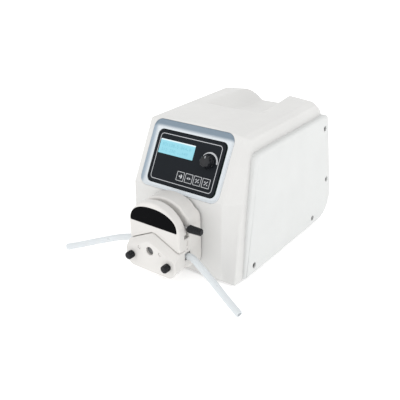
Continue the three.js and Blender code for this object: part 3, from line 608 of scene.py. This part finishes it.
def shell_stations():
    """Places of the shell's rings on one side of the centre line, each with its inset."""
    spots = [i * 2.0 for i in range(31)] + [float(x) for x in range(61, 72)]
    spots += [72.5, 74, 75.5, 77, 78.5, 80]
    stations = [(x, 0.0) for x in spots]
    for k in range(1, 6):
        t = math.pi / 2 * k / 5
        stations.append((HALF_BODY - SIDE_EDGE * (1 - math.sin(t)), SIDE_EDGE * (1 - math.cos(t))))
    return stations


def shell_cutters():
    """The bezel's seat, the panel and rear openings, the shaft hole and the room inside."""
    gap = 0.25
    plain = LOOK["shell"]
    seat = round_rect(-BEZEL["half"] - gap, BEZEL["half"] + gap, BEZEL["low"] - gap,
                      BEZEL["high"] + gap, BEZEL["radius"] + gap, 12)
    opening = round_rect(-51.0, 50.8, 11.2, 77.8, 7.4)
    rear = round_rect(-59.9, 59.9, 6.1, 91.9, 4)
    ceiling = VALLEY["floor_z"] - 3.4
    room = rounded([(9.5, -1, 0), (203, -1, 0), (235, 40, 30), (208, ceiling - 7, 4),
                    (140, ceiling - 1, 0), (59, ceiling - 1, 3), (44, 91, 0)])
    front_room = rounded([(WALL, -1, 0), (60, -1, 0), (60, ceiling, 0), (37.5, ceiling, 3), (5, 94, 0),
                          (WALL, 88, 0)])
    side = HALF_BODY - WALL
    return [
        prism(seat, on_panel, -3.4, 9, plain),
        prism(opening, on_panel, -30, 3, plain),
        prism(rear, on_rear, -6, 3, plain),
        prism(circle(12, 48, 0, AXIS_Z), on_front, -2, 12, plain),
        prism(room, in_shell, -side, side, plain),
        prism(front_room, on_side(1), -61, 61, plain),
    ]


def main_shell():
    half = shell_stations()
    stations = [(-x, d) for x, d in reversed(half[1:])] + half
    skin = loft("case_shell", [shell_ring(x, d) for x, d in stations], LOOK["shell"],
                body="drive", slot="shell")
    carve(skin, *shell_cutters())
    polish(skin, 42)
    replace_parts(skin, "main_shell")


def cover_screw(name, place, y, z):
    """Countersunk cross-head screw at the bottom of its well."""
    face = HALF_COVER - 1.9
    head = moulding(f"screw_{name}", circle(3.1, 40, y, z), face - 1.6, face, place, LOOK["zinc"], 0.5,
                    body="drive", slot="steel")
    for long, short in ((1.7, 0.35), (0.35, 1.7)):
        cross = round_rect(y - long, y + long, z - short, z + short, 0.2, 2)
        carve(head, prism(cross, place, face - 0.9, face + 1, LOOK["zinc"]))
    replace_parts(polish(head, 40), f"cover_screw_{name}")


def cover_outline():
    rear_foot = REAR_FOOT[0] + REAR_FOOT[1] * SIN_R / COS_R
    return rounded([(COVER["front"], COVER["bottom"], 2), (rear_foot, COVER["bottom"], REAR_CORNER),
                    (COVER["rear"], COVER["top"], 7), (COVER["top_front"], COVER["top"], 9),
                    (COVER["bend_y"], COVER["bend_z"], 60)], 12)


def side_cover(name, side):
    """Built upright on the right with its screw wells, then leaned in and mirrored for the left."""
    inner, outer = HALF_BODY - 4.6, HALF_COVER
    place = on_side(1)
    cover = moulding(f"cover_{name}", cover_outline(), inner, outer, place, LOOK["cover"], 3.0, steps=6,
                     body="drive", slot="cover")
    for y, z in COVER_SCREWS:
        well = [(outer - 3.4, 3.5), (outer - 0.5, 3.5), (outer, 4.0), (outer + 1, 4.0)]
        rings = [[place(p.x, p.y, x) for p in circle(r, 32, y, z)] for x, r in well]
        carve(cover, loft("well", rings, LOOK["cover"]))
    for vertex in cover.data.vertices:
        vertex.co.x = side * (vertex.co.x - COVER_TAPER * (vertex.co.z - FOOT * MM))
    if side < 0:
        cover.data.flip_normals()
    polish(cover, 42)
    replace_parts(cover, f"side_cover_{name}")
    for i, (y, z) in enumerate(COVER_SCREWS):
        cover_screw(f"{name}_{i + 1}", on_cover(side), y, z)


def make_housing():
    main_shell()
    side_cover("left", -1)
    side_cover("right", 1)
    dress("base_plate", LOOK["sheet"], 0.3)
    for foot in ("front_left", "front_right", "rear_left", "rear_right"):
        dress(f"foot_{foot}", LOOK["rubber"], 0.4)


# ---------------------------------------------------------------- control panel
def bezel():
    """Dished frame: a thin rim, a wide sloped wall and a flat ledge round the overlay."""
    half, low, high, radius = BEZEL["half"], BEZEL["low"], BEZEL["high"], BEZEL["radius"]
    steps = 14
    outer = round_rect(-half, half, low, high, radius, steps)
    rim = round_rect(-57.3, 57.3, 7.2, high - 0.8, 10.2, steps)
    dip = round_rect(-52.6, 55.6, 9.2, 81.6, 8.8, steps)
    ledge = round_rect(-51.9, 54.6, 9.8, 80.6, 8.4, steps)
    through = round_rect(-50.9, 50.8, 11.4, 77.4, 7.4, steps)
    stops = [(outer, -3.1), (outer, 0.0), (inset(outer, 0.25), 0.3), (inset(rim, -0.2), 0.32), (rim, 0.2),
             (inset(rim, 0.4), -0.3), (dip, -1.9), (ledge, -2.1), (through, -2.15), (through, -3.1)]
    rings = [[on_panel(p.x, p.y, w) for p in loop] for loop, w in stops]
    piece = polish(loft("bezel", rings, LOOK["bezel"], closed=True, body="drive", slot="bezel"), 50)
    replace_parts(piece, "bezel_frame")


def ink_line(name, loop, width, w, height, body):
    """A thin raised line of ink on the panel that follows a closed loop."""
    inner = inset(loop, width)
    stops = [(loop, w), (loop, w + height), (inner, w + height), (inner, w)]
    rings = [[on_panel(p.x, p.y, d) for p in line] for line, d in stops]
    polish(loft(name, rings, LOOK["ink"], closed=True, body=body, slot="key"), 50)


def overlay():
    """Printed film with openings for the display, the dial's shaft and the keys."""
    left, right = OVERLAY["left"], OVERLAY["right"]
    low, high, top = OVERLAY["low"], OVERLAY["high"], OVERLAY["top"]
    gap = 0.3
    film = moulding("panel_film", round_rect(left, right, low, high, OVERLAY["radius"]), top - 1.2, top,
                    on_panel, LOOK["overlay"], 0.25, body="drive", slot="overlay")
    openings = [round_rect(DISPLAY["left"] - gap, DISPLAY["right"] + gap, DISPLAY["low"] - gap,
                           DISPLAY["high"] + gap, 0.8), circle(3.6, 32, ENCODER["x"], ENCODER["v"])]
    for i in range(KEY["count"]):
        start = KEY["first"] + i * KEY["pitch"]
        openings.append(round_rect(start - gap, start + KEY["width"] + gap, KEY["low"] - gap,
                                   KEY["high"] + gap, 1.1))
    carve(film, *(prism(loop, on_panel, -6, 1, LOOK["overlay"]) for loop in openings))
    polish(film, 40)
    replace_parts(film, "panel_overlay")
    border = round_rect(left + 4.3, right - 4.3, low + 4.0, high - 4.0, 4.4, 8)
    ink_line("panel_border", border, 0.75, top - 0.05, 0.09, "drive")
    dial_arc()


def dial_arc():
    """Printed arc beside the dial, which thins out from about ten o'clock to three."""
    x, v, top, radius = ENCODER["x"], ENCODER["v"], OVERLAY["top"], 11.4
    rings = []
    for i in range(33):
        t = math.radians(146 - 146 * i / 32)
        width = 2.0 - 1.5 * max(0.0, 1 - i / 14)
        near, far = radius - width / 2, radius + width / 2
        ring = [(near, -0.04), (far, -0.04), (far, 0.06), (near, 0.06)]
        rings.append([on_panel(x + r * math.cos(t), v + r * math.sin(t), top + w) for r, w in ring])
    polish(loft("dial_scale", rings, LOOK["ink"], body="drive", slot="key"), 50)


DIGITS = {
    "0": "01110 10001 10011 10101 11001 10001 01110",
    "1": "00100 01100 00100 00100 00100 00100 01110",
    "2": "01110 10001 00001 00010 00100 01000 11111",
    "3": "11111 00010 00100 00010 00001 10001 01110",
    "4": "00010 00110 01010 10010 11111 00010 00010",
    "5": "11111 10000 11110 00001 00001 10001 01110",
    "6": "00110 01000 10000 11110 10001 10001 01110",
    "8": "01110 10001 10001 01110 10001 10001 01110",
    ".": "00000 00000 00000 00000 00000 01100 01100",
    ":": "00000 01100 01100 00000 01100 01100 00000",
}


def display_marks():
    """Two lines of plain dot-matrix digits."""
    work = bmesh.new()
    dot, pitch, top = 0.40, 0.46, DISPLAY["face"] + 0.03
    for text, base in (("03:120.5 064.0", 57.6), ("1:2 350 ..:48", 51.2)):
        for k, char in enumerate(text):
            if char == " ":
                continue
            for row, bits in enumerate(DIGITS[char].split()):
                for column, bit in enumerate(bits):
                    if bit == "0":
                        continue
                    a = DISPLAY["left"] + 4.2 + k * 3.1 + column * pitch
                    b = base + (6 - row) * pitch * 1.12
                    corners = ((a, b), (a + dot, b), (a + dot, b + dot), (a, b + dot))
                    work.faces.new([work.verts.new(on_panel(x, v, top)) for x, v in corners])
    mesh = bpy.data.meshes.new("display_digits")
    work.to_mesh(mesh)
    work.free()
    new_piece("display_digits", mesh, LOOK["segment"], body="drive", slot="display")


def display():
    loop = round_rect(DISPLAY["left"], DISPLAY["right"], DISPLAY["low"], DISPLAY["high"], 0.6, 4)
    glass = moulding("display_glass", loop, -6.2, DISPLAY["face"], on_panel, LOOK["display"], 0.3,
                     body="drive", slot="display")
    polish(glass, 40)
    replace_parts(glass, "display_window")
    display_marks()


def key_marks(i):
    """Plain generic marks, one set for each key, as outlines about the key's centre."""
    if i == 0:
        half_disc = [(0.5, -2.6), (0.5, 2.6)]
        for k in range(1, 8):
            t = math.pi * k / 8
            half_disc.append((0.5 + 2.2 * math.sin(t), 2.6 * math.cos(t)))
        arrow = [(-2.6, 0), (-0.3, -1.4), (-0.3, 1.4)]
        return [half_disc, arrow]
    if i == 1:
        return [[(s * 3.0, 0), (s * 0.5, -1.5), (s * 0.5, 1.5)] for s in (-1, 1)]
    slash = [(-2.5, -2.2), (-1.9, -2.8), (2.5, 2.2), (1.9, 2.8)]
    up = [(-2.8, 0.7), (-0.7, 0.7), (-1.75, 2.6)]
    base, point = (-0.7, -2.5) if i == 2 else (-2.5, -0.7)
    return [slash, up, [(0.9, base), (2.9, base), (1.9, point)]]


def keys():
    """Four film keys, each with a printed frame and marks that move with it."""
    centre_v = (KEY["low"] + KEY["high"]) / 2
    for i in range(KEY["count"]):
        left = KEY["first"] + i * KEY["pitch"]
        centre = left + KEY["width"] / 2
        body = f"key_{'abcd'[i]}"
        loop = round_rect(left, left + KEY["width"], KEY["low"], KEY["high"], 0.9, 5)
        cap = polish(moulding(f"key_cap_{i + 1}", loop, -4.6, -2.05, on_panel, LOOK["key"], 0.35,
                              body=body, slot="key"), 40)
        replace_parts(cap, f"key_{i + 1}")
        ink_line(f"key_line_{i + 1}", inset(loop, 0.3), 0.65, -2.1, 0.12, body)
        for k, mark in enumerate(key_marks(i)):
            rings = [[on_panel(centre + a, centre_v + b, w) for a, b in mark] for w in (-2.1, -1.98)]
            loft(f"key_mark_{i + 1}_{k + 1}", rings, LOOK["ink"], body=body, slot="key")


def dial():
    """Fluted dial with a shallow dished cap and a pointer line."""
    x, v, radius, height = ENCODER["x"], ENCODER["v"], ENCODER["radius"], ENCODER["height"]
    base, sides = -2.1, 120
    stops = [(0, radius, 0.0), (1.2, radius, 0.0), (1.7, radius - 0.35, 0.0), (2.2, radius - 0.4, 0.5),
             (height - 2.0, radius - 0.8, 0.7), (height - 0.9, radius - 1.1, 0.6),
             (height - 0.25, radius - 1.7, 0.3), (height, radius - 2.4, 0.0), (height, radius - 2.9, 0.0),
             (height - 0.35, radius - 3.4, 0.0), (height - 0.55, radius - 6.0, 0.0)]
    rings = []
    for w, r, flute in stops:
        ring = []
        for k in range(sides):
            t = math.tau * k / sides
            dent = flute * (0.5 - 0.5 * math.cos(8 * t)) ** 2
            ring.append(on_panel(x + (r - dent) * math.cos(t), v + (r - dent) * math.sin(t), base + w))
        rings.append(ring)
    cap = polish(loft("dial_cap", rings, LOOK["dial"], body="dial", slot="black_plastic"), 50)
    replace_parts(cap, "encoder_knob")
    stem = circle(3, 32, x, v)
    polish(moulding("dial_stem", stem, -8.4, base + 0.5, on_panel, LOOK["black"], 0.2, body="dial",
                    slot="black_plastic"), 50)
    mark = round_rect(x - 0.4, x + 0.4, v + 3.4, v + radius - 1.9, 0.3, 3)
    polish(moulding("dial_pointer", mark, base + height - 0.5, base + height + 0.05, on_panel, LOOK["ink"],
                    0.1, body="dial", slot="key"), 50)


def make_panel():
    """The control panel, and the board and encoder behind it."""
    bezel()
    overlay()
    display()
    keys()
    dial()
    dress("control_board", LOOK["board"], 0.15)
    dress("encoder_body", LOOK["sheet"], 0.3)


# ---------------------------------------------------------------- pump head
def chevron(x, drop=0.0):
    """Height of the roof-shaped joint between the lower block and the pressing block."""
    return HEAD["apex"] - drop - HEAD["slope"] * abs(x)


def mirrored(points):
    return [(-a, b) for a, b in reversed(points)]


def bell_loop():
    """Outline of the rear body: straight sides under a domed top with soft shoulders."""
    half = HEAD["half"]
    curve = [(half, HEAD["split_z"]), (36.6, 79.4), (35, 83.4), (32, 86.4), (28.6, 88.8), (26, 92),
             (22.6, 94.9), (17, 97.4), (11, 99.2), (5, 100.2), (0, 100.5)]
    dome = catmull([(a, b, 0) for a, b in curve], 4)
    foot = catmull([(p[0], p[1], 0) for p in ((27, 16.8), (32, 18.6), (35.6, 22), (half, 27))], 5)
    right = [(p.x, p.y) for p in foot] + [(half, z) for z in range(31, 74, 6)] + [(p.x, p.y) for p in dome]
    return [Vector(p) for p in right + mirrored(right[:-1])]


def head_cutters():
    """Rotor room, the way in for the pressing shoe, shaft hole, tube ways and jaw slots."""
    ahead = -40
    cuts = [(circle(HEAD["rotor_r"], 64, 0, AXIS_Z), ahead, HEAD["flange_y"] + 0.4),
            (round_rect(-23, 23, 51, 70, 0.8, 3), ahead, HEAD["flange_y"] - 0.8),
            (circle(17.4, 48, 0, AXIS_Z), -30, -16.4),
            (circle(5, 32, 0, AXIS_Z), ahead, 4)]
    for s in (-1, 1):
        near, far = sorted((s * 17, s * 40))
        cuts.append((round_rect(near, far, 33.9, 43.2, 3.8, 8), ahead, -20.6))
        near, far = sorted((s * 28.6, s * 34.2))
        cuts.append((round_rect(near, far, 26, 36, 0.4, 2), -30.2, -20.4))
    return [prism(loop, on_front, y0, y1, LOOK["head"]) for loop, y0, y1 in cuts]


def head_body():
    """Bell-shaped rear body with the solid core round the rotor room."""
    half = HEAD["core_half"]
    body = moulding("head_rear", bell_loop(), -0.4, HEAD["flange_y"], on_front, LOOK["head"], 2.6, steps=6,
                    body="drive", slot="head")
    core = rounded([(29, 18, 3), (half, 25, 5), (half, 61, 1), (-half, 61, 1), (-half, 25, 5),
                    (-29, 18, 3)], 5)
    fuse(body, prism(core, on_front, HEAD["core_y"], -19, LOOK["head"]))
    carve(body, *head_cutters())
    side_details(body)
    polish(body, 40)
    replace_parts(body, "head_body")


def side_details(body):
    """Small release slots and a screw hole on each flank of the rear body."""
    for s in (-1, 1):
        place = on_side(s)
        oval = round_rect(-27.3, -24.3, 51.2, 57.4, 1.45, 6)
        hole = circle(1.0, 20, -26.0, 47.2)
        for loop, depth in ((oval, 0.8), (hole, 2.0)):
            carve(body, prism(loop, place, HEAD["core_half"] - depth, 38, LOOK["head"]))


def lower_loop(half, drop, foot):
    """Outline of the lower block: a roof-shaped top over a rounded foot."""
    top = chevron(half, drop)
    corners = [(0, HEAD["apex"] - drop, 10), (-half, top, 1.2), (-half, foot, 18), (half, foot, 18),
               (half, top, 1.2)]
    return rounded(corners, 10)


def lower_block():
    """Lower block with its sloping top, shaft bore, knob holes and pin holes."""
    half, foot, front = HEAD["half"] - 0.2, HEAD["bottom"], HEAD["front_y"]
    stops = [(HEAD["seam_y"] - 0.05, half, 0.5, foot), (-41.6, half, 0.5, foot),
             (-42.2, half, 0.7, foot), (-42.6, half, 1.0, foot), (front + 1.5, half, 6.5, foot),
             (front + 0.75, half - 0.15, 7.3, foot + 0.15), (front + 0.25, half - 0.5, 7.9, foot + 0.5),
             (front, half - 1.1, 8.5, foot + 1.1)]
    rings = [[case(p.x, y, p.y) for p in lower_loop(h, drop, base)] for y, h, drop, base in stops]
    block = loft("head_lower", rings, LOOK["head"], body="drive", slot="head")
    ahead = -60
    holes = [(0, AXIS_Z, 20, -36.5, -20), (0, AXIS_Z, 8.3, -45.8, -30), (0, AXIS_Z, 5.1, ahead, -40)]
    for s in (-1, 1):
        holes.append((s * KNOB["x"], KNOB["z"], 2.4, ahead, -36))
        holes.append((s * 15.5, AXIS_Z + 0.6, 2.2, ahead, -44))
    for x, z, radius, y0, y1 in holes:
        carve(block, prism(circle(radius, 48, x, z), on_front, y0, y1, LOOK["head"]))
    chamfer = [(front - 0.5, 6.3), (front + 0.7, 5.1)]
    rings = [[case(p.x, y, p.y) for p in circle(r, 48, 0, AXIS_Z)] for y, r in chamfer]
    carve(block, loft("cut", rings, LOOK["head"]))
    polish(block, 36)
    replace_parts(block, "lower_block")


def window_loop(grow=0.0):
    """Half-moon outline of the smoked window."""
    points = []
    for i in range(49):
        t = math.pi * i / 48
        c, s = math.cos(t), math.sin(t)
        a = math.copysign(abs(c) ** 0.86, c)
        b = HEAD["split_z"] + (20.6 + grow) * max(s, 0) ** 0.94
        points.append(Vector(((34.2 + grow) * a, b)))
    return points + [Vector((-33.6 - grow, 72.4 - grow)), Vector((33.6 + grow, 72.4 - grow))]


def press_ring(loop, depth):
    """The plate's outline moved in by depth, except along the joint with the lower block."""
    half = HEAD["half"]
    ring = []
    for here, moved in zip(loop, inset(loop, depth) if depth else loop):
        if here.y < 72:
            x = here.x * (half - depth) / half
            rise = HEAD["slope"] * (abs(here.x) - abs(x))
            moved = Vector((x, here.y + rise + min(depth, 0.7)))
        ring.append(moved)
    return ring


def pressing_block():
    """Front plate with the pressing shoe, a drum and a pin behind it, and its window."""
    half, split = HEAD["half"], HEAD["split_z"]
    seam = rounded([(half, split, 0), (-half, split, 0), (-half, chevron(half), 1.2),
                    (0, HEAD["apex"] - 0.2, 12), (half, chevron(half), 1.2)], 8)[2:]
    arc = []
    for i in range(49):
        t = math.radians(19.8 + 140.4 * i / 48)
        arc.append(Vector((HEAD["arc_r"] * math.cos(t), HEAD["arc_z"] + HEAD["arc_r"] * math.sin(t))))
    stops = edge_steps(HEAD["seam_y"] - 0.05, HEAD["plate_y"], 2.2, 6)
    rings = [[case(p.x, y, p.y) for p in press_ring(seam + arc, d)] for y, d in stops]
    plate = loft("head_press", rings, LOOK["head"], body="press", slot="head")
    drum = []
    for i in range(41):
        t = math.radians(8 + 164 * i / 40)
        drum.append(Vector((HEAD["drum_r"] * math.cos(t), HEAD["arc_z"] + HEAD["drum_r"] * math.sin(t))))
    shoe = prism(round_rect(-22.6, 22.6, 52.5, 67.4, 0.6, 3), on_front, -31, -21.2, LOOK["head"])
    carve(shoe, prism(circle(21, 64, 0, AXIS_Z), on_front, -40, -10, LOOK["head"]))
    fuse(plate,
         prism(drum, on_front, -31.5, -27.35, LOOK["head"]),
         shoe,
         prism(circle(2.3, 24, 0, HEAD["split_z"] - 1), on_front, -31.4, -21.4, LOOK["head"]))
    carve(plate, prism(window_loop(0.25), on_front, -60, -39.4, LOOK["head"]))
    polish(plate, 38)
    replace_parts(plate, "pressing_block")
    glass = moulding("head_window", window_loop(), -39.6, -41.35, on_front, LOOK["gloss"], 0.3,
                     body="press", slot="smoke")
    polish(glass, 40)
    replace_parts(glass, "block_window")


def tube_knob(name, side):
    """Ribbed thumb knob with a domed end."""
    x, sides = side * KNOB["x"], 168
    base, tip, radius = KNOB["base"], KNOB["tip"], KNOB["radius"]
    stops = [(base, radius - 0.5, 0.0), (base - 0.3, radius - 0.15, 0.1), (base - 0.8, radius, 0.42),
             (tip + 1.3, radius, 0.42), (tip + 0.6, radius - 0.25, 0.25), (tip + 0.2, radius - 0.7, 0.0),
             (tip, radius - 1.4, 0.0), (tip - 0.05, 2.0, 0.0)]
    rings = []
    for y, r, depth in stops:
        ring = []
        for k in range(sides):
            t = math.tau * k / sides
            reach = r - depth * (0.5 - 0.5 * math.cos(14 * t))
            ring.append(case(x + reach * math.cos(t), y, KNOB["z"] + reach * math.sin(t)))
        rings.append(ring)
    cap = polish(loft(f"knob_cap_{name}", rings, LOOK["black"], body=f"knob_{name}",
                      slot="black_plastic"), 50)
    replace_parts(cap, f"tube_knob_{name}")
    stem = circle(2, 24, x, KNOB["z"])
    polish(moulding(f"knob_stem_{name}", stem, -37, base + 0.4, on_front, LOOK["steel"], 0.1,
                    body=f"knob_{name}", slot="steel"), 50)


def make_head():
    """The roller head: detailed mouldings round the CAD's rotor, rollers, lever and jaws."""
    head_body()
    lower_block()
    pressing_block()
    for name, side in (("left", -1), ("right", 1)):
        tube_knob(name, side)
        dress(f"block_pin_{name}", LOOK["head"], 0.3, 50)
        dress(f"clamp_jaw_{name}", LOOK["black"], 0.4)
    # Painted shade: the bearing and the shaft end get the dark metal so the shaft hole reads dark.
    dress("front_bearing", LOOK["zinc"], 0.25, 40)
    dress("drive_shaft", LOOK["zinc"], 0.4, 50)
    dress("roller_carrier", LOOK["sheet"], 0.3, 50)
    for i in (1, 2, 3):
        dress(f"roller_{i}", LOOK["steel"], 0.3, 50)
    dress("lever_rod", LOOK["steel"], 0.25, 50)
    dress("lever_grip", LOOK["black"], 0.35, 20)
    dress("pump_tube", LOOK["tube"], 0, 60)


# ---------------------------------------------------------------- rear and inside
def make_rear():
    for node, look, soft in (("rear_plate", "sheet", 0.25), ("inlet_socket", "black", 0.4),
                             ("fuse_drawer", "black", 0.35), ("power_rocker", "black", 0.4),
                             ("switch_frame", "black", 0.35), ("control_connector", "sheet", 0.3),
                             ("power_board", "board", 0.2), ("drive_motor", "black", 0.5),
                             ("motor_bracket", "sheet", 0.3)):
        dress(node, LOOK[look], soft)


# ---------------------------------------------------------------- studio
def area_light(name, place, aim, size, power):
    data = bpy.data.lights.new(name, "AREA")
    data.shape = "SQUARE"
    data.size = size
    data.energy = power
    lamp = bpy.data.objects.new(name, data)
    way = Vector(aim) - Vector(place)
    lamp.matrix_world = Matrix.Translation(place) @ way.to_track_quat("-Z", "Y").to_matrix().to_4x4()
    bpy.context.collection.objects.link(lamp)


def make_floor():
    work = bmesh.new()
    reach = 6
    for x, y in ((-reach, -reach), (reach, -reach), (reach, reach), (-reach, reach)):
        work.verts.new((x, y, 0))
    work.faces.new(work.verts)
    mesh = bpy.data.meshes.new("floor")
    work.to_mesh(mesh)
    work.free()
    white, _, shader = shader_base("floor_white", (0.90, 0.90, 0.90), 0.9)
    shader.inputs["Emission Color"].default_value = (1, 1, 1, 1)
    shader.inputs["Emission Strength"].default_value = 0.34
    floor = bpy.data.objects.new("floor", mesh)
    mesh.materials.append(white)
    bpy.context.collection.objects.link(floor)


def make_studio():
    make_floor()
    world = bpy.data.worlds.new("studio")
    world.use_nodes = True
    background = world.node_tree.nodes["Background"]
    background.inputs["Color"].default_value = (1, 1, 1, 1)
    background.inputs["Strength"].default_value = 1.1
    bpy.context.scene.world = world
    area_light("key_light", (-0.7, -1.7, 0.8), (0, 0, 0.08), 1.6, 3.5)
    area_light("fill_light", (1.7, -0.5, 0.7), (0, 0, 0.08), 1.6, 2.1)
    bpy.context.scene.view_settings.view_transform = "Standard"


# ---------------------------------------------------------------- build
make_camera()
make_tubes()
make_housing()
make_panel()
make_head()
make_rear()
make_studio()
